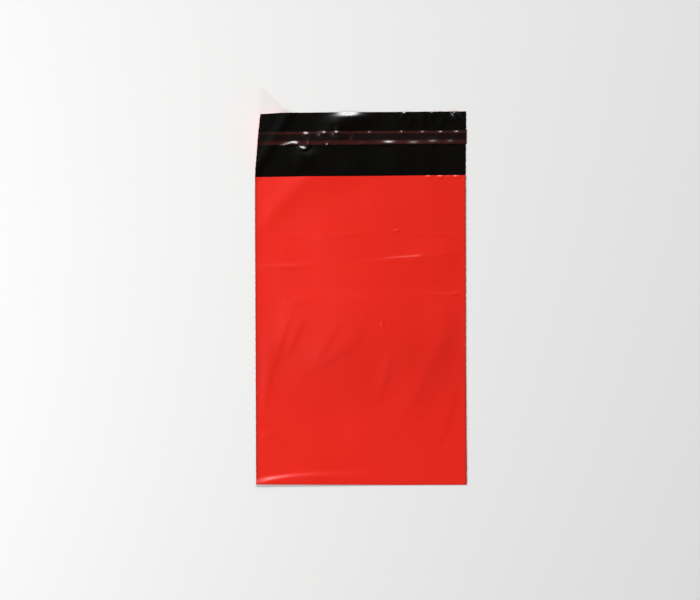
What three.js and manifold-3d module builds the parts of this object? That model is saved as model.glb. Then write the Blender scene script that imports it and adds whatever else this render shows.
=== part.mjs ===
// A poly mailer bag: one sheet of film, folded into a pocket and welded up its sides, with a flap
// that carries an adhesive strip under a release liner.
// Millimetres, +Z up. The back lies on z = 0, X is the bag's width and the flap points along +Y.

import * as THREE from "three";
import Module from "manifold-3d";

// Overall sizes of the bag
const BAG_WIDTH = 160;
const POCKET_DEPTH = 235;
const FLAP_LENGTH = 48;

// The film, its bottom fold and its side welds
const FILM = 0.06;
const FOLD_RADIUS = 0.12; // to the middle of the film
const FOLD_STEPS = 6;
const WELD_WIDTH = 1.5;
const WELD_PROUD = 0.05; // how far the melted bead stands out of the cut edges
const WELD_BITE = 0.01; // how far the bead runs into the film on each side of it
const WELD_MARGIN = 0.5; // film beside the weld that still lies flat

// The closing strip on the flap's inner face
const LINER_FROM_EDGE = 13.7;
const LINER_WIDTH = 11;
const LINER_THICKNESS = 0.05;
const ADHESIVE_WIDTH = 5;
const ADHESIVE_THICKNESS = 0.08;
const LAYER_GAP = 0.02;

// The slack front of the pocket, which stands off the back and gapes at the mouth
const PUFF_HEIGHT = 6.5;
const BOTTOM_SLOPE = 60;

// The flap's lifted corner, bent up along a line that slants across it and straight from there on
const CURL_ALONG_TOP = 35;
const CURL_DOWN_SIDE = 60;
const CURL_RADIUS = 20;
const CURL_ANGLE = THREE.MathUtils.degToRad(42);

// Longest facets where the film is curved and where it is straight
const CURVED_STEP = 5;
const STRAIGHT_STEP = 40;

const halfWidth = BAG_WIDTH / 2;
const filmHalf = halfWidth - WELD_PROUD;
const weldInner = halfWidth - WELD_WIDTH;
const slackHalf = weldInner - WELD_MARGIN;

const bottomY = -(POCKET_DEPTH + FLAP_LENGTH) / 2;
const foldY = bottomY + FOLD_RADIUS + FILM / 2;
const slopeEndY = bottomY + BOTTOM_SLOPE;
const mouthY = bottomY + POCKET_DEPTH;
const flapTopY = mouthY + FLAP_LENGTH;
const curlLowY = flapTopY - CURL_DOWN_SIDE;

const linerTopY = flapTopY - LINER_FROM_EDGE;
const linerBottomY = linerTopY - LINER_WIDTH;
const adhesiveTopY = linerTopY - (LINER_WIDTH - ADHESIVE_WIDTH) / 2;
const adhesiveBottomY = adhesiveTopY - ADHESIVE_WIDTH;

const backZ = FILM / 2;
const foldZ = backZ + FOLD_RADIUS;
const frontZ = foldZ + FOLD_RADIUS;
const adhesiveZ = FILM + LAYER_GAP + ADHESIVE_THICKNESS / 2;
const linerZ = FILM + 2 * LAYER_GAP + ADHESIVE_THICKNESS + LINER_THICKNESS / 2;

const filmColumns = [
  -filmHalf,
  ...stations([-slackHalf, slackHalf], CURVED_STEP),
  filmHalf,
];

// Evenly spaced places between each break and the next, no further apart than the step
function stations(breaks, step) {
  const places = [breaks[0]];
  for (let i = 1; i < breaks.length; i += 1) {
    const from = breaks[i - 1];
    const span = breaks[i] - from;
    const count = Math.max(1, Math.ceil(Math.abs(span) / step));
    for (let k = 1; k <= count; k += 1) {
      places.push(from + (span * k) / count);
    }
  }
  return places;
}

// How far the pocket's front stands off its back
function puff(x, y) {
  const across = Math.max(0, 1 - (x / slackHalf) ** 2);
  const short = Math.max(0, 1 - (y - foldY) / (slopeEndY - foldY));
  return PUFF_HEIGHT * across * (1 - short ** 2);
}

// Turns a point up with the lifted corner: round a cylinder that touches the table on the curl's line,
// then straight on up
const curlAcross = new THREE.Vector2(-CURL_DOWN_SIDE, CURL_ALONG_TOP).normalize();
const curlStart = curlAcross.dot(new THREE.Vector2(-halfWidth, curlLowY));

function curl(point) {
  const away = curlAcross.x * point.x + curlAcross.y * point.y - curlStart;
  if (away <= 0) {
    return point;
  }
  const angle = Math.min(away / CURL_RADIUS, CURL_ANGLE);
  const straight = away - CURL_RADIUS * angle;
  const arm = CURL_RADIUS - point.z;
  const shift = arm * Math.sin(angle) + straight * Math.cos(angle) - away;
  point.x += curlAcross.x * shift;
  point.y += curlAcross.y * shift;
  point.z = CURL_RADIUS - arm * Math.cos(angle) + straight * Math.sin(angle);
  return point;
}

// A row of the film's middle: its height at x, and the way its outer face looks in the YZ plane
function backRow(y, z = backZ) {
  return { y, z: () => z, outY: 0, outZ: -1, facesUp: false };
}

function foldRow(angle) {
  const outY = -Math.sin(angle);
  const outZ = -Math.cos(angle);
  const z = foldZ + FOLD_RADIUS * outZ;
  return { y: foldY + FOLD_RADIUS * outY, z: () => z, outY, outZ, facesUp: false };
}

function frontRow(y) {
  return { y, z: (x) => frontZ + puff(x, y), outY: 0, outZ: 1, facesUp: true };
}

function weldRow(y) {
  return { y, z: () => foldZ, outY: 0, outZ: 1, facesUp: true };
}

// A closed thin sheet through rows of points. Walking along a row and then on to the next row goes
// anticlockwise round the outer face. All facets share one diagonal as seen from above.
function sheet(columns, rows, thickness) {
  const positions = [];
  for (const side of [0.5, -0.5]) {
    for (const row of rows) {
      for (const x of columns) {
        const y = row.y + row.outY * side * thickness;
        const z = row.z(x) + row.outZ * side * thickness;
        positions.push(...curl(new THREE.Vector3(x, y, z)));
      }
    }
  }
  const across = columns.length;
  const down = rows.length;
  const inner = across * down;
  const index = [];
  for (let r = 0; r + 1 < down; r += 1) {
    for (let c = 0; c + 1 < across; c += 1) {
      const a = r * across + c;
      const b = a + 1;
      const d = a + across;
      const e = d + 1;
      const facets = rows[r].facesUp ? [[a, b, d], [b, e, d]] : [[a, b, e], [a, e, d]];
      for (const [i, j, k] of facets) {
        index.push(i, j, k, inner + i, inner + k, inner + j);
      }
    }
  }
  const rim = [];
  for (let c = 0; c + 1 < across; c += 1) {
    rim.push(c);
  }
  for (let r = 0; r + 1 < down; r += 1) {
    rim.push(r * across + across - 1);
  }
  for (let c = across - 1; c > 0; c -= 1) {
    rim.push((down - 1) * across + c);
  }
  for (let r = down - 1; r > 0; r -= 1) {
    rim.push(r * across);
  }
  rim.forEach((from, i) => {
    const to = rim[(i + 1) % rim.length];
    index.push(from, inner + to, to, from, inner + from, inner + to);
  });
  return closedGeometry(positions, index);
}

function closedGeometry(positions, index) {
  const geometry = new THREE.BufferGeometry();
  geometry.setAttribute("position", new THREE.Float32BufferAttribute(positions, 3));
  geometry.setIndex(index);
  geometry.computeVertexNormals();
  return geometry;
}

// Melts closed geometries into one body
const wasm = await Module();
wasm.setup();

function solid(geometry) {
  const vertProperties = new Float32Array(geometry.attributes.position.array);
  const triVerts = new Uint32Array(geometry.index.array);
  return new wasm.Manifold(new wasm.Mesh({ numProp: 3, vertProperties, triVerts }));
}

function melted(geometries) {
  const whole = geometries.map(solid).reduce((sum, next) => sum.add(next));
  const { vertProperties, triVerts } = whole.getMesh();
  return closedGeometry(Array.from(vertProperties), Array.from(triVerts));
}

// The film runs from the flap's cut edge down the back, round the bottom fold and up to the mouth
function filmSheet() {
  const flapBreaks = [flapTopY, linerTopY, adhesiveTopY, adhesiveBottomY, linerBottomY, mouthY];
  const curved = stations([...flapBreaks, curlLowY], CURVED_STEP);
  const straight = stations([curlLowY, foldY], STRAIGHT_STEP).slice(1);
  const turns = Array.from({ length: FOLD_STEPS - 1 }, (_, i) => (Math.PI * (i + 1)) / FOLD_STEPS);
  const rows = [
    ...[...curved, ...straight].map((y) => backRow(y)),
    ...turns.map(foldRow),
    ...frontPlaces().map(frontRow),
  ];
  return sheet(filmColumns, rows, FILM);
}

function frontPlaces() {
  return [
    ...stations([foldY, slopeEndY], CURVED_STEP),
    ...stations([slopeEndY, curlLowY], STRAIGHT_STEP).slice(1),
    ...stations([curlLowY, mouthY], CURVED_STEP).slice(1),
  ];
}

// The bead that the hot knife leaves between front and back, from inside the fold to the mouth
function weldBead(columns) {
  const places = frontPlaces();
  places[0] = foldY - FOLD_RADIUS + FILM / 2 - WELD_BITE;
  places[places.length - 1] = mouthY - WELD_PROUD;
  const thickness = 2 * FOLD_RADIUS - FILM + 2 * WELD_BITE;
  return sheet(columns, places.map(weldRow), thickness);
}

function bagGeometry() {
  const left = weldBead([-halfWidth, -weldInner]);
  const right = weldBead([weldInner, halfWidth]);
  return melted([filmSheet(), left, right]);
}

// A layer of the closing strip, from one cut edge of the flap to the other
function stripLayer(breaks, z, thickness) {
  const rows = stations(breaks, CURVED_STEP).map((y) => backRow(y, z));
  return sheet(filmColumns, rows, thickness);
}

function piece(name, geometry, look) {
  const mesh = new THREE.Mesh(geometry, new THREE.MeshStandardMaterial(look));
  mesh.name = name;
  return mesh;
}

const redFilm = { color: 0xe52c21, roughness: 0.35, metalness: 0, side: THREE.DoubleSide };
const clearAdhesive = { color: 0x1a1412, roughness: 0.3, metalness: 0 };
const tintedLiner = { color: 0x3c1d19, roughness: 0.25, metalness: 0 };

const adhesiveBreaks = [adhesiveTopY, adhesiveBottomY];
const linerBreaks = [linerTopY, ...adhesiveBreaks, linerBottomY];

const mailer = new THREE.Group();
mailer.add(
  piece("bag", bagGeometry(), redFilm),
  piece("adhesive_strip", stripLayer(adhesiveBreaks, adhesiveZ, ADHESIVE_THICKNESS), clearAdhesive),
  piece("release_liner", stripLayer(linerBreaks, linerZ, LINER_THICKNESS), tintedLiner),
);

export default mailer;
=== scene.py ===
"""Looks of a poly mailer bag: creased red film with a black inside, and a puckered closing strip."""

import math

import bpy
import numpy as np
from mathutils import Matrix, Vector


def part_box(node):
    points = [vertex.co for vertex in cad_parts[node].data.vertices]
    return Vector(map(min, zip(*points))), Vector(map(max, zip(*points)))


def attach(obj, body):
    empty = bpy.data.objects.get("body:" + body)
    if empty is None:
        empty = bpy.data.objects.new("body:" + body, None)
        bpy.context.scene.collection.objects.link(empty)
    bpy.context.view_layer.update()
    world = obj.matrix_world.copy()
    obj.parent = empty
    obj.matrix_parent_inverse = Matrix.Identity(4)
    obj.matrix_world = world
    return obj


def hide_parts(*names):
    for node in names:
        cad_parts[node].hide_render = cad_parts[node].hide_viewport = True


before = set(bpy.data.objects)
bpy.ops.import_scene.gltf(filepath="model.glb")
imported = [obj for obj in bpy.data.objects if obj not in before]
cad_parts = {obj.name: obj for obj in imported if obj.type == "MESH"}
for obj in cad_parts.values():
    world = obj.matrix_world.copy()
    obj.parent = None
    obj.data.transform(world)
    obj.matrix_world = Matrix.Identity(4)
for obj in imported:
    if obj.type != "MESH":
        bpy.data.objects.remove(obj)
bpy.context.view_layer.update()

# Sizes in millimetres. Overall sizes come from the frame, and the rest repeat the solids' own values.
MM = 0.001
bag_low, bag_high = (np.array(corner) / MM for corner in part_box("bag"))
HALF_WIDTH = bag_high[0]
BOTTOM_Y = bag_low[1]
TOP_Y = bag_high[1]
LINER_TOP_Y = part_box("release_liner")[1].y / MM
ADHESIVE_TOP_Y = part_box("adhesive_strip")[1].y / MM
POCKET_DEPTH = 235.0
MOUTH_Y = BOTTOM_Y + POCKET_DEPTH
FILM = 0.06
FOLD_RADIUS = 0.12
FOLD_Y = BOTTOM_Y + FOLD_RADIUS + FILM / 2
FRONT_Z = FILM / 2 + 2 * FOLD_RADIUS
WELD_WIDTH = 1.5
WELD_MARGIN = 0.5
SLACK_HALF = HALF_WIDTH - WELD_WIDTH - WELD_MARGIN
LINER_WIDTH = 11.0
LINER_THICKNESS = 0.05
ADHESIVE_WIDTH = 5.0
ADHESIVE_THICKNESS = 0.08
LAYER_GAP = 0.02

# The flap's lifted corner, bent up along a line that slants across it
CURL_ALONG_TOP = 35.0
CURL_DOWN_SIDE = 60.0
CURL_RADIUS = 20.0
CURL_ANGLE = math.radians(42)

# The slack front stands off the back. Its height falls to the welds as a cosine to a power, and the
# right side is the fuller one.
PUFF_HEIGHT = 3.7
PUFF_LOW_SHARE = 0.05
PUFF_LOW_RISE = 12.0
PUFF_FROM_Y = -93.0
PUFF_TO_Y = -9.0
PUFF_LEFT_POWER = 2
PUFF_RIGHT_POWER = 1

# The mouth rises off the back. A fold that runs from the mouth down to the left weld parts it from the
# flat facet that falls away to the corner.
FACET_LOW = (-77.5, 54.3)
FACET_HIGH = (-44.6, 89.8)
FACET_SLOPE = 0.082
FACET_BEND = 1.2
RISE_BEND = 2.5
RISE_FADE = 40.0

# How far the front's cut edge lies below the flap's fold line, on the left and on the right
MOUTH_DROP = (0.8, 0.3)
MOUTH_DROP_FADE = 30.0

# The bottom left corner stands off the table with both layers, below a line that drops to the weld
HEEL_LIFT = 1.48
HEEL_FROM_X = -72.0
HEEL_FADE = 111.0
HEEL_CORNER = 0.45
HEEL_CORNER_X = -77.0
HEEL_CORNER_WIDTH = 9.0
HEEL_WELD_SHARE = 0.85
HEEL_WELD_MARGIN = 5.0
HEEL_LINE_Y = -132.2
HEEL_LINE_DROP = 6.3
HEEL_LINE_FROM_X = -78.0
HEEL_LINE_FADE = 22.0
HEEL_DEPTH = 6.0
HEEL_DRAW = 0.48

# Long soft waves that no film lies without: radians per millimetre across and along, and a phase
UNDULATION_HEIGHT = 0.12
UNDULATIONS = [(0.093, 0.061, 0.4), (0.047, -0.112, 1.9), (0.151, 0.023, 4.1)]
UNDULATION_MARGIN = 25.0

# The bead of the side welds, and its ripples: a share, radians per millimetre across and along, a phase
WELD_BEAD = 0.07
BEAD_MEAN = 0.6
BEAD_RIPPLES = [(0.25, 0.02, 1.7, 0.0), (0.15, 0.0, 1.03, 1.3)]

# How far the hot-cut side edges wander, and their ripples: a share, radians per millimetre along, and a
# phase that changes its sign from the right side to the left
EDGE_WANDER = 0.072
EDGE_WANDER_REACH = 4.0
EDGE_RIPPLES = [(1.0, 1.45, 1.0), (0.7, 0.83, 2.0)]

# How far the cut lies from a true rectangle. Each side is drawn in by an amount, which is most at one y
# and fades over a width.
LEAN = 0.6
LEAN_FROM_Y = 60.0
SKEW_TOP = 0.0036
SKEW_BOTTOM = 0.0015
RIGHT_DRAW = (0.3, -50.0, 75.0)
LEFT_DRAW = (0.45, 110.0, 9.0)

# Painted shade: a band across the front below its middle where the red is painted darker, less so to the
# right
BAND_SHADE_Y = -46.0
BAND_SHADE_WIDTH = 34.0
BAND_SHADE_RIGHT_SHARE = 0.75

# The red is darker along the side welds, and painted shade darkens it along the bottom fold
DARK_WELD_WIDTH = 2.4
FOLD_SHADE_WIDTH = 1.25
FOLD_SHADE_SHARE = 0.5

# Folds of the front film. Each has its width on the left and on the right of its path, and the path's
# points as x, y and height. Negative heights are valleys.
FRONT_FOLDS = [
    (5.0, 6.0, [(-40.5, 94.5, 0.45), (-61, 72.1, 0.45), (-82, 49.4, 0.1)]),
    (0.8, 0.8, [(-84, 45.2, 0.15), (-68, 47, 0.09), (-42, 47.7, 0.11), (-20, 47.6, 0.09),
                (-6, 49, 0.1), (22, 49.7, 0.04), (50, 48.9, 0.09), (84, 47.6, 0.08)]),
    (0.7, 0.9, [(24.2, 51, 0), (27, 51.2, 0.4), (30, 51.4, 0)]),
    (1.2, 1.4, [(-84, 24.2, 0.33), (-66, 24.4, 0.36), (-54, 24.6, 0.38), (-42, 24.9, 0.22),
                (-26, 25.4, 0)]),
    (0.85, 3.5, [(-13, 26.2, 0), (-0.4, 27.3, 0.1), (12, 28.8, 0.16), (21, 29.8, 0.31),
                 (28, 30.4, 0.38), (38, 31.1, 0.44), (44, 31.5, 0.43), (48.5, 32.1, 0.18),
                 (64, 34.2, 0.12), (84, 37, 0.18)]),
    (6.0, 8.0, [(24, 31, 0), (50, 33.4, 0.3), (66, 34.8, 0.55), (84, 36.4, 0.6)]),
    (4.5, 4.5, [(-84, 9, -0.1), (0, 7.8, -0.2), (84, 9.6, -0.2)]),
    (0.9, 0.9, [(44, 3.9, 0), (56, 3.2, 0.14), (66, 2.5, 0.2), (73, 3.6, 0.3), (84, 5.8, 0.36)]),
    (1.4, 1.6, [(-60, -3.2, 0), (-54, -2.2, 0.2), (-42, -0.4, 0.2), (-28, 1.4, 0)]),
    (1.2, 1.4, [(-62, -7, 0), (-56, -5.6, 0.13), (-47, -3.6, 0.1), (-40, -2.6, 0)]),
    (0.9, 0.9, [(-68, -10, 0), (-45, -10.2, 0.1), (-16, -10.4, 0)]),
    (2.2, 9.0, [(-52, -9, 0), (-55.5, -15.8, 0.36), (-63, -37, 0.5), (-70.7, -61.5, 0.46),
                (-75.5, -90, 0.1)]),
    (2.2, 7.0, [(-43, -12, 0), (-46.5, -18.5, 0.34), (-53, -35, 0.34), (-58, -46, 0)]),
    (2.2, 7.0, [(-15, -16, 0), (-19, -22.5, 0.26), (-29, -37.5, 0.3), (-35, -46, 0)]),
    (3.5, 10.0, [(4, -15, 0), (-2, -24, 0.28), (-9.5, -35, 0.6), (-27, -45.5, 0.65), (-52, -58.5, 0)]),
    (26.0, 45.0, [(30, 6, 0.3), (4, -15, 0.9), (-24, -44, 0.7), (-52, -60, 0.1)]),
    (0.7, 0.7, [(0.5, -13.4, 0), (3, -14, 0.3), (6, -15.2, 0)]),
    (0.6, 0.7, [(16, -16.2, 0), (16.3, -19.5, 0.5), (16.6, -23, 0)]),
    (10.5, 40.0, [(73, 2, 0.2), (65.5, -25, 1.1), (52, -50.5, 1.8), (40.5, -73.4, 1.5), (24, -98, 0)]),
    (3.0, 6.0, [(70, -12, 0), (65.5, -25, 0.22), (52, -50.5, 0.42), (40.5, -73.4, 0.4), (24, -98, 0)]),
    (2.0, 4.0, [(25, -37, 0), (20.5, -52, 0.4), (14.5, -70, 0.36), (10.5, -80, 0)]),
    (1.5, 2.0, [(34, -72, 0), (29, -77, 0.12), (16, -88.5, 0.12), (12, -92, 0)]),
    (1.8, 1.8, [(31.5, -98, 0), (29.8, -103.5, -0.3), (28.4, -109, 0)]),
    (1.6, 2.2, [(50, -94, 0), (47.5, -101, 0.2), (46, -107, 0)]),
    (2.6, 12.0, [(74, -64, 0), (69.5, -73, 0.4), (62.4, -98.7, 0.5), (52.5, -119, 0.25),
                 (46, -128, 0)]),
    (2.5, 2.0, [(-84, -106.5, 0.4), (-72, -103.5, 0.38), (-61, -100.5, 0)]),
]

# Folds die away toward the welds, over this margin and some more for wide ones, and toward the bottom
CREASE_MARGIN = 4.0
CREASE_MARGIN_SHARE = 1.5
CREASE_RISE = 6.0

# Small waves of the front film's cut edge at the mouth, as x, y, height and widths
MOUTH_WAVES = [
    (51.5, 92.2, 0.5, 1.5, 0.8),
    (60.5, 92.2, 0.6, 1.7, 0.8),
    (66.5, 92.4, 0.35, 1.3, 0.8),
    (72.6, 92.2, 0.6, 1.9, 0.8),
]

# Wrinkles and waves of the flap, which only rise from the table. Waves have x, y, height, the width
# across and the widths on the pocket's side and on the cut edge's side. The flap stays flat beside its
# fold line, and they come up past that.
FLAP_FOLDS = [
    (1.6, 1.6, [(36, 143, 0.5), (38, 136, 0.5), (33, 129, 0)]),
    (1.5, 1.5, [(49, 143, 0.6), (47, 135, 0.5), (50, 128, 0)]),
    (1.6, 1.6, [(59, 143, 0.6), (63, 135, 0.5), (58, 129, 0)]),
    (1.5, 1.5, [(68, 143, 0.7), (74, 137, 0.7), (79, 131, 0.2)]),
    (1.1, 1.1, [(-47.8, 116.9, 0.3), (-46.4, 114.8, 0.56), (-43.6, 113.8, 0.56), (-41, 114.6, 0.58),
                (-39.6, 117, 0.7), (-39.1, 120, 0.7), (-39, 124, 0.15)]),
    (1.0, 1.0, [(-18.2, 127.6, 0), (-17.7, 129.2, 0.5), (-17, 131.5, 0)]),
]
FLAP_WAVES = [
    (-8.0, 137.0, 2.0, 9.5, 9.0, 3.4),
    (32.6, 139.9, 1.0, 1.7, 2.5, 1.2),
    (53.9, 139.9, 0.7, 1.6, 2.5, 1.2),
    (71.4, 139.8, 0.9, 1.7, 2.5, 1.3),
    (-21.0, 131.2, 1.5, 6.5, 9.0, 4.6),
    (-42.0, 107.8, 1.4, 7.0, 8.0, 4.2),
]
FLAP_FLAT = 2.0
FLAP_RISE = 8.0

# Puckers of the release liner: domes as x, y, height and widths, waves like the flap's, and a ridge. Its
# edges drape down beside the adhesive.
LINER_DOMES = [
    (-42.1, 124.6, 0.75, 1.9, 1.1),
    (6.6, 125.2, 0.5, 1.6, 1.0),
    (31.0, 125.4, 0.5, 1.3, 1.2),
    (47.0, 125.3, 0.42, 1.6, 1.0),
    (60.7, 125.2, 0.45, 1.8, 1.0),
    (72.8, 125.3, 0.45, 2.0, 1.0),
    (-24.6, 117.6, 0.6, 1.0, 1.2),
    (1.0, 117.2, 0.55, 2.2, 1.3),
    (21.4, 117.0, 1.02, 6.2, 1.7),
    (40.4, 116.6, 0.95, 5.0, 1.7),
    (54.9, 117.4, 0.82, 4.2, 1.7),
    (68.2, 117.4, 0.8, 3.2, 1.7),
]
LINER_WAVES = [
    (-29.5, 125.4, 0.95, 2.5, 2.2, 1.1),
    (-18.5, 125.4, 0.96, 2.2, 2.2, 1.1),
]
LINER_RIDGES = [
    (1.4, 1.0, [(-63, 114.8, 0.65), (-59, 115.9, 0.94), (-54.3, 117, 0.93), (-50, 117.5, 0.92),
                (-47.4, 116.6, 0.5), (-46, 115, 0.1)]),
]
LINER_DRAPE = 2.5

# Fine creases of the liner, where it lies dry, and how dry each millimetre of height leaves it
LINER_CREASES = [
    (0.6, 0.6, [(-9.6, 126, 0), (-7.5, 122.5, 0.12), (-5.6, 119, 0.12), (-5, 117.5, 0)]),
    (0.6, 0.6, [(-4.6, 126.5, 0), (-6.2, 123, 0.2), (-8.2, 119.5, 0.18), (-9, 118, 0)]),
]
CREASE_DRYNESS = 3.5
DOME_DRYNESS = 0.3125

# Bands across the liner, measured down from its upper edge, with a centre, a half width and a soft edge.
# It is wet on the adhesive, dry beside it, and dark past the rims, where it lies flat on the flap.
WET_CENTRE = 5.2
WET_HALF = 2.1
WET_EDGE = 1.2
RIM_CENTRE = 5.8
RIM_HALF = 4.55
RIM_EDGE = 0.65
RAGGED = 0.25

# Facets of the film, across it and along its flap, back and front. They are finer in bands where the
# film is sharply bent.
COLUMN_STEP = 1.4
FINE_COLUMN_STEP = 0.75
FINE_COLUMNS = [(-50.0, -37.0), (-21.0, -15.0), (14.0, 19.0)]
EDGE_COLUMNS = np.array([0, 0.35, 0.7, 1.1, 1.6, 2.2])
EDGE_BAND = 3.0
FLAP_STEP = 0.85
FINE_FLAP = (111.0, 119.0)
FINE_FLAP_STEP = 0.5
BACK_STEP = 9.0
BENT_STEP = 1.5
FRONT_STEP = 1.25
CREASE_STEP = 0.6
FOLD_STEPS = 8
CREASE_BANDS = [(1.5, 6.0), (21.5, 37.5), (45.0, 52.5), (89.0, 93.0)]
PATH_SAMPLES = 12
SHARP_ANGLE = math.radians(50)

# How far the strip's layers reach past the flap's left and right edges, and their facets across and along
ADHESIVE_REACH = (-0.2, -0.2)
ADHESIVE_STEPS = (1.3, 0.6)
LINER_REACH = (0.0, 0.5)
LINER_STEPS = (0.45, 0.35)

# Colours as 8-bit sRGB numbers, and ranges of roughness
RED_STREAKS = [(234.3, 38.8, 27), (235.7, 40.2, 28)]
RED_ROUGHNESS = (0.295, 0.325)
# Tints of the red: painted shade in a band across the front, and darker welds with painted shade along the
# bottom fold
RED_TINTS = {"band_shade": (228, 39, 27.5), "darker_welds_fold_shade": (186, 42, 31)}
BLACK_STREAKS = [(5, 4, 3), (8, 7, 5)]
BLACK_ROUGHNESS = (0.215, 0.245)
ADHESIVE_LUMPS = [(22, 17, 15), (34, 26, 23)]
ADHESIVE_ROUGHNESS = 0.3
LINER_WET = (24, 15, 13)
LINER_DRY = (60, 26, 24)
LINER_RIM = (11, 9, 8)
LINER_ROUGHNESS = (0.19, 0.245)

# Noise over the flat cut, in features per metre, and bumps, by their strength and their depth in metres.
# Values of plain noise lie mostly between its low and its high.
STREAK_SCALE = 60
STREAK_STRETCH = (3.0, 0.12, 1)
STREAK_DETAIL = 3.0
HAZE_SCALE = 35
PEEL_SCALE = 420
PEEL_BUMP = (0.05, 0.0004)
LUMP_SCALE = 500
LUMP_BUMP = (0.3, 0.0001)
RAGGED_SCALE = 260
LINER_HAZE_SCALE = 90
NOISE_DETAIL = 2.0
NOISE_LOW = 0.3
NOISE_HIGH = 0.7

# Camera: straight above, turned a little as the bag lies in the picture. The lens and its sensor are in
# millimetres, and the rest is in metres.
FIELD_WIDTH = 0.5312
CAMERA_LENS = 85.0
CAMERA_SENSOR = 36.0
CAMERA_AT = (-0.0082, -0.0010)
CAMERA_ROLL = math.radians(-0.23)

# The floor: half its size and its height in metres, and how it reflects
FLOOR_HALF = 8.0
FLOOR_Z = -0.0002
FLOOR_COLOUR = (0.84, 0.84, 0.835, 1)
FLOOR_ROUGHNESS = 0.9
FLOOR_SPECULAR = 0.1

# Lamps: azimuth and elevation in degrees, distance and size in metres, and share of the light
LAMPS = {
    "key_softbox": (186, 42, 1.35, (0.49, 0.49), 0.345),
    "top_strip": (90, 45, 4.0, (1.3, 0.36), 0.392),
    "bottom_lamp": (270, 35, 4.0, (0.22, 0.22), 0.075),
}

# The room's light by height, from 0 at the horizon to 1 overhead, and its strength from left to right
# and from near to far
ROOM_LEVELS = [(0.0, 0.03), (0.14, 0.08), (0.3, 0.75), (0.6, 0.6), (0.78, 0.12), (0.9, 0.015)]
ROOM_SIDES = (1.0, 0.28)
ROOM_ENDS = (0.4, 1.6)


# Curves and shapes


def smooth_path(points):
    """A Catmull-Rom curve through points, with as many samples on each stretch."""
    points = np.asarray(points, float)
    ends = np.vstack([2 * points[0] - points[1], points, 2 * points[-1] - points[-2]])
    share = np.linspace(0, 1, PATH_SAMPLES, endpoint=False)[:, None]
    stretches = []
    for a, b, c, d in zip(ends, ends[1:], ends[2:], ends[3:]):
        bend = 2 * a - 5 * b + 4 * c - d
        twist = 3 * (b - c) + d - a
        stretches.append(b + 0.5 * share * (c - a + share * (bend + share * twist)))
    return np.vstack([*stretches, points[-1:]])


def ridge(x, y, left, right, path):
    """The height of a fold along a path, falling off to its left and right widths."""
    path = smooth_path(path)
    nearest = np.full(x.shape, np.inf)
    height = np.zeros(x.shape)
    for (ax, ay, ah), (bx, by, bh) in zip(path, path[1:]):
        ux, uy = bx - ax, by - ay
        length = math.hypot(ux, uy)
        along = ((x - ax) * ux + (y - ay) * uy) / length**2
        share = np.clip(along, 0, 1)
        dx, dy = x - ax - share * ux, y - ay - share * uy
        away = np.hypot(dx, dy)
        side = ux * dy - uy * dx
        width = np.where(side > 0, left, right)
        here = (ah + share * (bh - ah)) * np.exp(-0.5 * (away / width) ** 2)
        closer = away < nearest
        height = np.where(closer, here, height)
        nearest = np.where(closer, away, nearest)
    return height


def ridges(x, y, folds):
    """The summed heights of folds."""
    return sum(ridge(x, y, *fold) for fold in folds)


def bumps(x, y, places):
    """The summed heights of soft domes."""
    return sum(
        h * np.exp(-0.5 * (((x - cx) / wx) ** 2 + ((y - cy) / wy) ** 2))
        for cx, cy, h, wx, wy in places
    )


def waves(x, y, places):
    """The summed heights of waves with a width across and two slopes along."""
    height = np.zeros(x.shape)
    for cx, cy, h, across, low, high in places:
        width = np.where(y > cy, high, low)
        height = height + h * np.exp(-0.5 * (((x - cx) / across) ** 2 + ((y - cy) / width) ** 2))
    return height


def ramp(t):
    """Smooth step from 0 to 1."""
    t = np.clip(t, 0, 1)
    return t * t * (3 - 2 * t)


def soft_rise(t, bend):
    """Zero below 0 and t above it, bent softly between."""
    return bend * np.logaddexp(0, t / bend)


def bell(t):
    """From 1 at 0 down to 0 on both sides."""
    return np.exp(-(t**2))


def toward_weld(x, margin):
    """From 0 at the welds to 1 at a margin from them."""
    return ramp((SLACK_HALF - np.abs(x)) / margin)


def puff(x, y):
    """How far the smooth front stands off the back."""
    power = np.where(x > 0, PUFF_RIGHT_POWER, PUFF_LEFT_POWER)
    across = np.cos(math.pi / 2 * np.clip(x / SLACK_HALF, -1, 1)) ** power
    along = PUFF_LOW_SHARE * ramp((y - FOLD_Y) / PUFF_LOW_RISE)
    along = along + (1 - PUFF_LOW_SHARE) * ramp((y - PUFF_FROM_Y) / (PUFF_TO_Y - PUFF_FROM_Y))
    return PUFF_HEIGHT * across * along


def undulation(x, y):
    """The film's long soft waves."""
    return UNDULATION_HEIGHT * sum(np.sin(a * x + b * y + phase) for a, b, phase in UNDULATIONS)


def mouth_rise(x, y):
    """How far the mouth rises past the even puff, less the fall of the corner's facet."""
    ux, uy = FACET_HIGH[0] - FACET_LOW[0], FACET_HIGH[1] - FACET_LOW[1]
    length = math.hypot(ux, uy)
    beyond = (ux * (y - FACET_LOW[1]) - uy * (x - FACET_LOW[0])) / length
    at_weld = (ux * (y - FACET_LOW[1]) + uy * (SLACK_HALF + FACET_LOW[0])) / length
    fade = 1 - ramp(-beyond / RISE_FADE)
    return FACET_SLOPE * (soft_rise(at_weld, RISE_BEND) * fade - soft_rise(beyond, FACET_BEND))


def front_height(x, y):
    """The height of the front over the back, with its creases and the welds' beads."""
    creases = undulation(x, y) * toward_weld(x, UNDULATION_MARGIN)
    for left, right, path in FRONT_FOLDS:
        margin = CREASE_MARGIN + CREASE_MARGIN_SHARE * min(left, right)
        creases = creases + ridge(x, y, left, right, path) * toward_weld(x, margin)
    creases = creases + bumps(x, y, MOUTH_WAVES)
    above_fold = ramp((y - FOLD_Y) / CREASE_RISE)
    height = puff(x, y) + mouth_rise(x, y) + above_fold * creases
    return np.maximum(height, 0) + bead(x, y)


def mouth_drop(x, y):
    """How far the front's cut edge lies below the flap's fold line."""
    left, right = MOUTH_DROP
    across = left + (right - left) * ramp(x / HALF_WIDTH)
    return across * ramp((y - MOUTH_Y) / MOUTH_DROP_FADE + 1)


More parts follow.
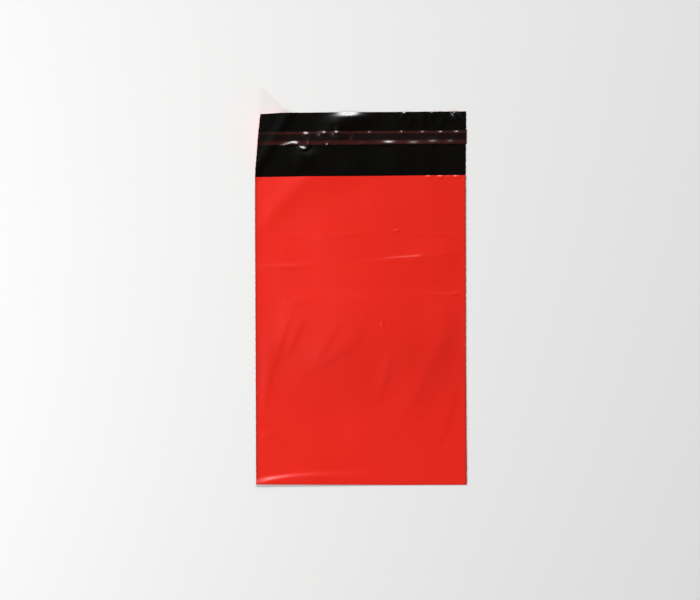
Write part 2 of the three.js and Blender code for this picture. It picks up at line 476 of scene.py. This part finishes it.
def bead(x, y):
    """The rippled bead of the side welds."""
    across = ramp((np.abs(x) - SLACK_HALF) / WELD_WIDTH)
    ripple = sum(share * np.sin(a * x + b * y + phase) for share, a, b, phase in BEAD_RIPPLES)
    return WELD_BEAD * across * (BEAD_MEAN + ripple)


def edge_ripple(x, y):
    """How far the hot-cut side edges wander from straight."""
    near = ramp((np.abs(x) - HALF_WIDTH) / EDGE_WANDER_REACH + 1)
    wander = sum(share * np.sin(b * y + phase * np.sign(x)) for share, b, phase in EDGE_RIPPLES)
    return EDGE_WANDER * near * wander


def flap_height(x, y):
    """How far the flap's wrinkles and waves stand off the table."""
    height = ridges(x, y, FLAP_FOLDS) + waves(x, y, FLAP_WAVES)
    return height * ramp((y - MOUTH_Y - FLAP_FLAT) / FLAP_RISE)


def heel_lift(x, y):
    """How far the bottom corner stands off the table, with both layers."""
    line = HEEL_LINE_Y - HEEL_LINE_DROP * np.exp((HEEL_LINE_FROM_X - x) / HEEL_LINE_FADE)
    lift = HEEL_LIFT * (1 - ramp((x - HEEL_FROM_X) / HEEL_FADE))
    lift = lift + HEEL_CORNER * bell((x - HEEL_CORNER_X) / HEEL_CORNER_WIDTH)
    at_weld = HEEL_WELD_SHARE + (1 - HEEL_WELD_SHARE) * ramp((x + HALF_WIDTH) / HEEL_WELD_MARGIN)
    return lift * at_weld * ramp((line - y) / HEEL_DEPTH + 0.5)


def band_shade_share(x, y):
    """How much painted shade darkens the front's red in a band below its middle, from 0 to 1."""
    share = 1 - (1 - BAND_SHADE_RIGHT_SHARE) * ramp((x + HALF_WIDTH) / (2 * HALF_WIDTH))
    return share * bell((y - BAND_SHADE_Y) / BAND_SHADE_WIDTH)


def darker_welds_fold_shade(x, y):
    """How much darker the red is along the side welds, and the painted shade along the bottom fold, from 0
    to 1.
    """
    welded = ramp((np.abs(x) - HALF_WIDTH) / DARK_WELD_WIDTH + 1) * (y < MOUTH_Y)
    # Painted shade along the bottom fold
    creased = FOLD_SHADE_SHARE * (1 - ramp((y - FOLD_Y) / FOLD_SHADE_WIDTH))
    return np.maximum(welded, creased)


def out_of_square(x, y):
    """How far the cut lies from a true rectangle: a leaning flap and a slanting bottom fold."""
    lean = LEAN * np.clip((y - LEAN_FROM_Y) / (TOP_Y - LEAN_FROM_Y), 0, None) ** 2
    for side, (draw, middle, width) in ((1, RIGHT_DRAW), (-1, LEFT_DRAW)):
        lean = lean - side * draw * ramp(side * x / HALF_WIDTH) * bell((y - middle) / width)
    slant = -SKEW_BOTTOM * x * np.clip(-y / TOP_Y, 0, 1)
    rise = SKEW_TOP * x * np.clip(y / TOP_Y, 0, 1)
    return lean, slant + rise + HEEL_DRAW * heel_lift(x, y)


def curl(points):
    """Turns the flap's corner up about a slanting line, and on straight past the bend."""
    line = np.array([-CURL_DOWN_SIDE, CURL_ALONG_TOP])
    across = line / np.hypot(*line)
    start = across @ (-HALF_WIDTH, TOP_Y - CURL_DOWN_SIDE)
    away = np.clip(points[..., :2] @ across - start, 0, None)
    angle = np.minimum(away / CURL_RADIUS, CURL_ANGLE)
    straight = away - CURL_RADIUS * angle
    arm = CURL_RADIUS - points[..., 2]
    shift = arm * np.sin(angle) + straight * np.cos(angle) - away
    turned = points.copy()
    turned[..., :2] += shift[..., None] * across
    turned[..., 2] = CURL_RADIUS - arm * np.cos(angle) + straight * np.sin(angle)
    return turned


# Sheets


def spaced(breaks, step):
    """Even places between each break and the next, with both ends."""
    runs = [
        np.linspace(a, b, max(1, math.ceil(abs(b - a) / step)), endpoint=False)
        for a, b in zip(breaks, breaks[1:])
    ]
    return np.concatenate([*runs, breaks[-1:]])


def with_bands(low, high, step, bands, fine_step):
    """Places from low to high, closer together in the bands."""
    runs = []
    here = low
    for first, last in bands:
        runs += [spaced([here, first], step)[:-1], spaced([first, last], fine_step)[:-1]]
        here = last
    return np.concatenate([*runs, spaced([here, high], step)])


def film_columns():
    """Places across the film, closest together at the welds."""
    inner = HALF_WIDTH - EDGE_BAND
    middle = with_bands(-inner, inner, COLUMN_STEP, FINE_COLUMNS, FINE_COLUMN_STEP)
    return np.concatenate([EDGE_COLUMNS - HALF_WIDTH, middle, HALF_WIDTH - EDGE_COLUMNS[::-1]])


def back_rows():
    """Places from the flap's cut edge down the back to the bottom fold."""
    bent_high = TOP_Y - CURL_DOWN_SIDE
    bent_low = FOLD_Y + 2 * HEEL_DEPTH
    return np.concatenate([
        with_bands(MOUTH_Y, TOP_Y, FLAP_STEP, [FINE_FLAP], FINE_FLAP_STEP)[::-1],
        spaced([MOUTH_Y, bent_high], BENT_STEP)[1:],
        spaced([bent_high, bent_low], BACK_STEP)[1:],
        spaced([bent_low, FOLD_Y], BENT_STEP)[1:],
    ])


def mesh_object(name, mesh, materials):
    """A new object in the scene with its materials."""
    piece = bpy.data.objects.new(name, mesh)
    bpy.context.scene.collection.objects.link(piece)
    for material in materials:
        mesh.materials.append(material)
    return piece


def sheet_faces(rows, columns):
    """Triangles of a closed sheet's outer face, of its inner face and of the rim between them."""
    count = rows * columns
    number = np.arange(count).reshape(rows, columns)
    a, b = number[:-1, :-1], number[:-1, 1:]
    c, d = number[1:, 1:], number[1:, :-1]
    outer = np.stack([np.stack([a, b, c], axis=-1), np.stack([a, c, d], axis=-1)]).reshape(-1, 3)
    loop = np.concatenate([number[0, :-1], number[:-1, -1], number[-1, :0:-1], number[:0:-1, 0]])
    ahead = np.roll(loop, -1)
    rim = np.concatenate([
        np.stack([loop, loop + count, ahead + count], axis=-1),
        np.stack([loop, ahead + count, ahead], axis=-1),
    ])
    return outer, outer[:, ::-1] + count, rim


def sheet_object(name, outer, inner, flat, materials, marks):
    """A closed sheet between two grids of points, mapped by its flat cut and marked for its colours.

    The outer face and the rim have the first of its materials, and the inner face has the last.
    """
    points = np.concatenate([outer.reshape(-1, 3), inner.reshape(-1, 3)]) * MM
    sides = sheet_faces(*outer.shape[:2])
    faces = np.concatenate(sides)
    mesh = bpy.data.meshes.new(name)
    mesh.from_pydata(points, [], faces.tolist())
    slots = np.repeat([0, len(materials) - 1, 0], [len(side) for side in sides])
    mesh.polygons.foreach_set("material_index", slots.astype(np.int32))
    mesh.polygons.foreach_set("use_smooth", np.ones(len(faces), bool))
    cut = np.concatenate([flat.reshape(-1, 2)] * 2) * MM
    layer = mesh.uv_layers.new(name="cut")
    layer.data.foreach_set("uv", cut[faces.reshape(-1)].reshape(-1).astype(np.float32))
    for mark_name, shares in marks.items():
        values = np.concatenate([shares.reshape(-1)] * 2).astype(np.float32)
        mesh.attributes.new(mark_name, "FLOAT", "POINT").data.foreach_set("value", values)
    mesh.update()
    mesh.set_sharp_from_angle(angle=SHARP_ANGLE)
    return mesh_object(name, mesh, materials)


def film_profile(back, front):
    """The flat film's middle in the YZ plane, and the way that its outer face looks there."""
    turn = np.linspace(0, math.pi, FOLD_STEPS + 1)[1:-1]
    y = np.concatenate([back, FOLD_Y - FOLD_RADIUS * np.sin(turn), front])
    z = np.concatenate([
        np.full(len(back), FILM / 2),
        FILM / 2 + FOLD_RADIUS * (1 - np.cos(turn)),
        np.full(len(front), FRONT_Z),
    ])
    out_y = np.concatenate([np.zeros(len(back)), -np.sin(turn), np.zeros(len(front))])
    out_z = np.concatenate([-np.ones(len(back)), -np.cos(turn), np.ones(len(front))])
    return y, z, out_y, out_z


def bag_film(materials):
    """The film from the flap's cut edge down the back, round the bottom fold and up to the mouth."""
    columns = film_columns()
    back = back_rows()
    front = with_bands(FOLD_Y, MOUTH_Y, FRONT_STEP, CREASE_BANDS, CREASE_STEP)
    on_back = slice(None, len(back))
    on_front = slice(-len(front), None)
    y, z, out_y, out_z = film_profile(back, front)
    x, y_grid = np.meshgrid(columns, y)
    z_grid = np.repeat(z[:, None], len(columns), axis=1) + heel_lift(x, y_grid)
    z_grid[on_back] += flap_height(x, y_grid)[on_back]
    z_grid[on_front] += front_height(x[on_front], y_grid[on_front])
    length = np.concatenate([[0], np.cumsum(np.hypot(np.diff(y), np.diff(z)))])
    flat = np.stack([x + HALF_WIDTH, np.repeat(length[:, None], len(columns), axis=1)], axis=-1)
    lean, slant = out_of_square(x, y_grid)
    slant[on_front] -= mouth_drop(x, y_grid)[on_front]
    middle = np.stack([x + edge_ripple(x, y_grid) + lean, y_grid + slant, z_grid], axis=-1)
    out = np.zeros_like(middle)
    out[..., 1] = out_y[:, None]
    out[..., 2] = out_z[:, None]
    outer = curl(middle + out * FILM / 2)
    inner = curl(middle - out * FILM / 2)
    # Painted shade on the front: a darker band below its middle
    band_shade = np.zeros_like(x)
    band_shade[on_front] = band_shade_share(x, y_grid)[on_front]
    # Darker red along the side welds, and painted shade along the bottom fold
    marks = {"band_shade": band_shade, "darker_welds_fold_shade": darker_welds_fold_shade(x, y_grid)}
    return sheet_object("bag_film", outer, inner, flat, materials, marks)


def strip(name, top_y, width, reach, steps, height, thickness, materials, dry=None):
    """A layer of the closing strip, laid on the flap and going up with its corner."""
    across, along = steps
    columns = spaced([-HALF_WIDTH - reach[0], HALF_WIDTH + reach[1]], across)
    rows = spaced([top_y, top_y - width], along)
    x, y = np.meshgrid(columns, rows)
    z = FILM + flap_height(x, y) + height(x, y)
    flat = np.stack([x + HALF_WIDTH, top_y - y], axis=-1)
    lean, slant = out_of_square(x, y)
    low = np.stack([x + lean, y + slant, z], axis=-1)
    high = low + np.array([0, 0, thickness])
    marks = {} if dry is None else {"dryness": dry(x, y)}
    return sheet_object(name, curl(low), curl(high), flat, materials, marks)


def adhesive_height(x, y):
    """How far the adhesive lies over the flap."""
    return np.full(x.shape, LAYER_GAP)


def liner_height(x, y):
    """How far the liner lies over the flap: on the adhesive, down to the flap beside it, and puckered."""
    middle = LINER_TOP_Y - LINER_WIDTH / 2
    on_adhesive = ramp((LINER_WIDTH / 2 - np.abs(y - middle)) / LINER_DRAPE)
    lie = LAYER_GAP + on_adhesive * (ADHESIVE_THICKNESS + LAYER_GAP)
    puckers = ridges(x, y, [*LINER_RIDGES, *LINER_CREASES])
    return lie + puckers + waves(x, y, LINER_WAVES) + bumps(x, y, LINER_DOMES)


def liner_dryness(x, y):
    """Where the liner stands clear of the adhesive, from 0 to 1."""
    creased = CREASE_DRYNESS * ridges(x, y, LINER_CREASES)
    domed = DOME_DRYNESS * bumps(x, y, LINER_DOMES)
    return np.clip(creased + domed, 0, 1)


# Materials


def linear(red, green, blue):
    """A colour from its 8-bit sRGB numbers."""
    parts = [c / 255 for c in (red, green, blue)]
    return (*[c / 12.92 if c <= 0.04045 else ((c + 0.055) / 1.055) ** 2.4 for c in parts], 1.0)


def new_material(name):
    """A new material, with its nodes and its shader."""
    material = bpy.data.materials.new(name)
    material.use_nodes = True
    tree = material.node_tree
    return material, tree, tree.nodes["Principled BSDF"]


def flat_cut(tree):
    """The place on the flat cut, in metres."""
    cut = tree.nodes.new("ShaderNodeUVMap")
    cut.uv_map = "cut"
    return cut.outputs["UV"]


def mark(tree, name):
    """The share that is marked on the mesh."""
    node = tree.nodes.new("ShaderNodeAttribute")
    node.attribute_name = name
    return node.outputs["Fac"]


def calculated(tree, operation, first, second=None):
    """A sum or the like of sockets. The second may be a plain number."""
    node = tree.nodes.new("ShaderNodeMath")
    node.operation = operation
    tree.links.new(first, node.inputs[0])
    if isinstance(second, float):
        node.inputs[1].default_value = second
    elif second is not None:
        tree.links.new(second, node.inputs[1])
    return node.outputs["Value"]


def ranged(tree, source, from_range, to_range=(0, 1), clamp=True):
    """A value that goes through one range as its source goes through another."""
    node = tree.nodes.new("ShaderNodeMapRange")
    node.clamp = clamp
    node.inputs["From Min"].default_value, node.inputs["From Max"].default_value = from_range
    node.inputs["To Min"].default_value, node.inputs["To Max"].default_value = to_range
    tree.links.new(source, node.inputs["Value"])
    return node.outputs["Result"]


def noise(tree, scale, low, high, stretch=(1, 1, 1), detail=NOISE_DETAIL):
    """Noise over the flat cut, about from low to high, in features per metre."""
    mapping = tree.nodes.new("ShaderNodeMapping")
    mapping.inputs["Scale"].default_value = stretch
    texture = tree.nodes.new("ShaderNodeTexNoise")
    texture.inputs["Scale"].default_value = scale
    texture.inputs["Detail"].default_value = detail
    tree.links.new(flat_cut(tree), mapping.inputs["Vector"])
    tree.links.new(mapping.outputs["Vector"], texture.inputs["Vector"])
    return ranged(tree, texture.outputs["Fac"], (NOISE_LOW, NOISE_HIGH), (low, high), False)


def mixed(tree, factor, first, second):
    """A mixture of two colours, each a socket or a colour of its own."""
    node = tree.nodes.new("ShaderNodeMix")
    node.data_type = "RGBA"
    for side, colour in (("A", first), ("B", second)):
        if isinstance(colour, tuple):
            node.inputs[side].default_value = colour
        else:
            tree.links.new(colour, node.inputs[side])
    tree.links.new(factor, node.inputs["Factor"])
    return node.outputs["Result"]


def bump(tree, shader, height, strength, distance):
    """Gives a shader small bumps."""
    node = tree.nodes.new("ShaderNodeBump")
    node.inputs["Strength"].default_value = strength
    node.inputs["Distance"].default_value = distance
    tree.links.new(height, node.inputs["Height"])
    tree.links.new(node.outputs["Normal"], shader.inputs["Normal"])


def film_material(name, streaks, roughness, tints):
    """Blown film: faint streaks along the web, tints that include painted shade, uneven gloss and a fine
    orange peel.
    """
    material, tree, shader = new_material(name)
    dark, light = (linear(*colour) for colour in streaks)
    shade = noise(tree, STREAK_SCALE, 0, 1, STREAK_STRETCH, STREAK_DETAIL)
    colour = mixed(tree, shade, dark, light)
    for mark_name, tint in tints.items():
        colour = mixed(tree, mark(tree, mark_name), colour, linear(*tint))
    tree.links.new(colour, shader.inputs["Base Color"])
    tree.links.new(noise(tree, HAZE_SCALE, *roughness), shader.inputs["Roughness"])
    bump(tree, shader, noise(tree, PEEL_SCALE, NOISE_LOW, NOISE_HIGH), *PEEL_BUMP)
    return material


def adhesive_material():
    """Hot melt: dark and a little lumpy."""
    material, tree, shader = new_material("hot_melt")
    dark, light = (linear(*colour) for colour in ADHESIVE_LUMPS)
    colour = mixed(tree, noise(tree, LUMP_SCALE, 0, 1), dark, light)
    tree.links.new(colour, shader.inputs["Base Color"])
    shader.inputs["Roughness"].default_value = ADHESIVE_ROUGHNESS
    bump(tree, shader, noise(tree, LUMP_SCALE, NOISE_LOW, NOISE_HIGH), *LUMP_BUMP)
    return material


def outside(tree, place, unevenness, centre, half, edge):
    """From 0 in a band round a centre line to 1 outside it, past an uneven edge."""
    away = calculated(tree, "ABSOLUTE", calculated(tree, "SUBTRACT", place, centre * MM))
    ragged = calculated(tree, "ADD", away, unevenness)
    return ranged(tree, ragged, (half * MM, (half + edge) * MM))


def liner_material():
    """Tinted release film: red-brown where it is dry, dark on the adhesive and where its rims lie flat."""
    material, tree, shader = new_material("release_film")
    parts = tree.nodes.new("ShaderNodeSeparateXYZ")
    tree.links.new(flat_cut(tree), parts.inputs["Vector"])
    place = parts.outputs["Y"]
    unevenness = noise(tree, RAGGED_SCALE, -RAGGED * MM, RAGGED * MM)
    beside = outside(tree, place, unevenness, WET_CENTRE, WET_HALF, WET_EDGE)
    dry = calculated(tree, "MAXIMUM", beside, mark(tree, "dryness"))
    colour = mixed(tree, dry, linear(*LINER_WET), linear(*LINER_DRY))
    rim = outside(tree, place, unevenness, RIM_CENTRE, RIM_HALF, RIM_EDGE)
    colour = mixed(tree, rim, colour, linear(*LINER_RIM))
    tree.links.new(colour, shader.inputs["Base Color"])
    tree.links.new(noise(tree, LINER_HAZE_SCALE, *LINER_ROUGHNESS), shader.inputs["Roughness"])
    return material


def floor_material():
    """A matt, pale floor."""
    material, _, shader = new_material("pale_floor")
    shader.inputs["Base Color"].default_value = FLOOR_COLOUR
    shader.inputs["Roughness"].default_value = FLOOR_ROUGHNESS
    shader.inputs["Specular IOR Level"].default_value = FLOOR_SPECULAR
    return material


# Scene


def make_floor():
    """A large floor just under the bag."""
    half = FLOOR_HALF
    mesh = bpy.data.meshes.new("floor")
    corners = [(-half, -half, 0), (half, -half, 0), (half, half, 0), (-half, half, 0)]
    mesh.from_pydata(corners, [], [(0, 1, 2, 3)])
    floor = mesh_object("floor", mesh, [floor_material()])
    floor.location.z = FLOOR_Z


def make_camera():
    """A camera that looks straight down."""
    data = bpy.data.cameras.new("camera")
    data.lens = CAMERA_LENS
    data.sensor_width = CAMERA_SENSOR
    camera = bpy.data.objects.new("camera", data)
    camera.location = (*CAMERA_AT, FIELD_WIDTH * CAMERA_LENS / CAMERA_SENSOR)
    camera.rotation_euler.z = CAMERA_ROLL
    bpy.context.scene.collection.objects.link(camera)
    bpy.context.scene.camera = camera


def lamp(name, azimuth, elevation, distance, size, share):
    """A soft lamp turned to the bag. Share is its part of the light that shows white as white."""
    turn = math.radians(azimuth)
    lift = math.radians(elevation)
    flat = distance * math.cos(lift)
    data = bpy.data.lights.new(name, "AREA")
    data.shape = "RECTANGLE"
    data.size, data.size_y = size
    data.energy = share * (math.pi * distance) ** 2 / math.sin(lift)
    piece = bpy.data.objects.new(name, data)
    piece.location = (flat * math.cos(turn), flat * math.sin(turn), distance * math.sin(lift))
    piece.rotation_euler = (math.pi / 2 - lift, 0, turn + math.pi / 2)
    bpy.context.scene.collection.objects.link(piece)


def make_world():
    """A dim room, darkest overhead, so that the black film stays black."""
    world = bpy.data.worlds.new("room")
    bpy.context.scene.world = world
    world.use_nodes = True
    tree = world.node_tree
    place = tree.nodes.new("ShaderNodeTexCoord")
    parts = tree.nodes.new("ShaderNodeSeparateXYZ")
    tree.links.new(place.outputs["Generated"], parts.inputs["Vector"])
    shade = tree.nodes.new("ShaderNodeValToRGB")
    stops = shade.color_ramp.elements
    while len(stops) < len(ROOM_LEVELS):
        stops.new(0.5)
    for stop, (height, level) in zip(stops, ROOM_LEVELS):
        stop.position = height
        stop.color = (level, level, level, 1)
    tree.links.new(parts.outputs["Z"], shade.inputs["Fac"])
    side = ranged(tree, parts.outputs["X"], (-1, 1), ROOM_SIDES)
    end = ranged(tree, parts.outputs["Y"], (-1, 1), ROOM_ENDS)
    background = tree.nodes["Background"]
    tree.links.new(calculated(tree, "MULTIPLY", side, end), background.inputs["Strength"])
    tree.links.new(shade.outputs["Color"], background.inputs["Color"])


make_camera()
make_floor()
make_world()
for lamp_name, setting in LAMPS.items():
    lamp(lamp_name, *setting)

red = film_material("red_film", RED_STREAKS, RED_ROUGHNESS, RED_TINTS)
black = film_material("black_film", BLACK_STREAKS, BLACK_ROUGHNESS, {})

film = bag_film([red, black])
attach(film, "root")
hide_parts("bag")

adhesive = strip("adhesive_band", ADHESIVE_TOP_Y, ADHESIVE_WIDTH, ADHESIVE_REACH, ADHESIVE_STEPS,
                 adhesive_height, ADHESIVE_THICKNESS, [adhesive_material()])
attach(adhesive, "root")
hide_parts("adhesive_strip")

liner = strip("liner_strip", LINER_TOP_Y, LINER_WIDTH, LINER_REACH, LINER_STEPS,
              liner_height, LINER_THICKNESS, [liner_material()], liner_dryness)
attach(liner, "root")
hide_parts("release_liner")

bpy.context.scene.view_settings.view_transform = "Standard"
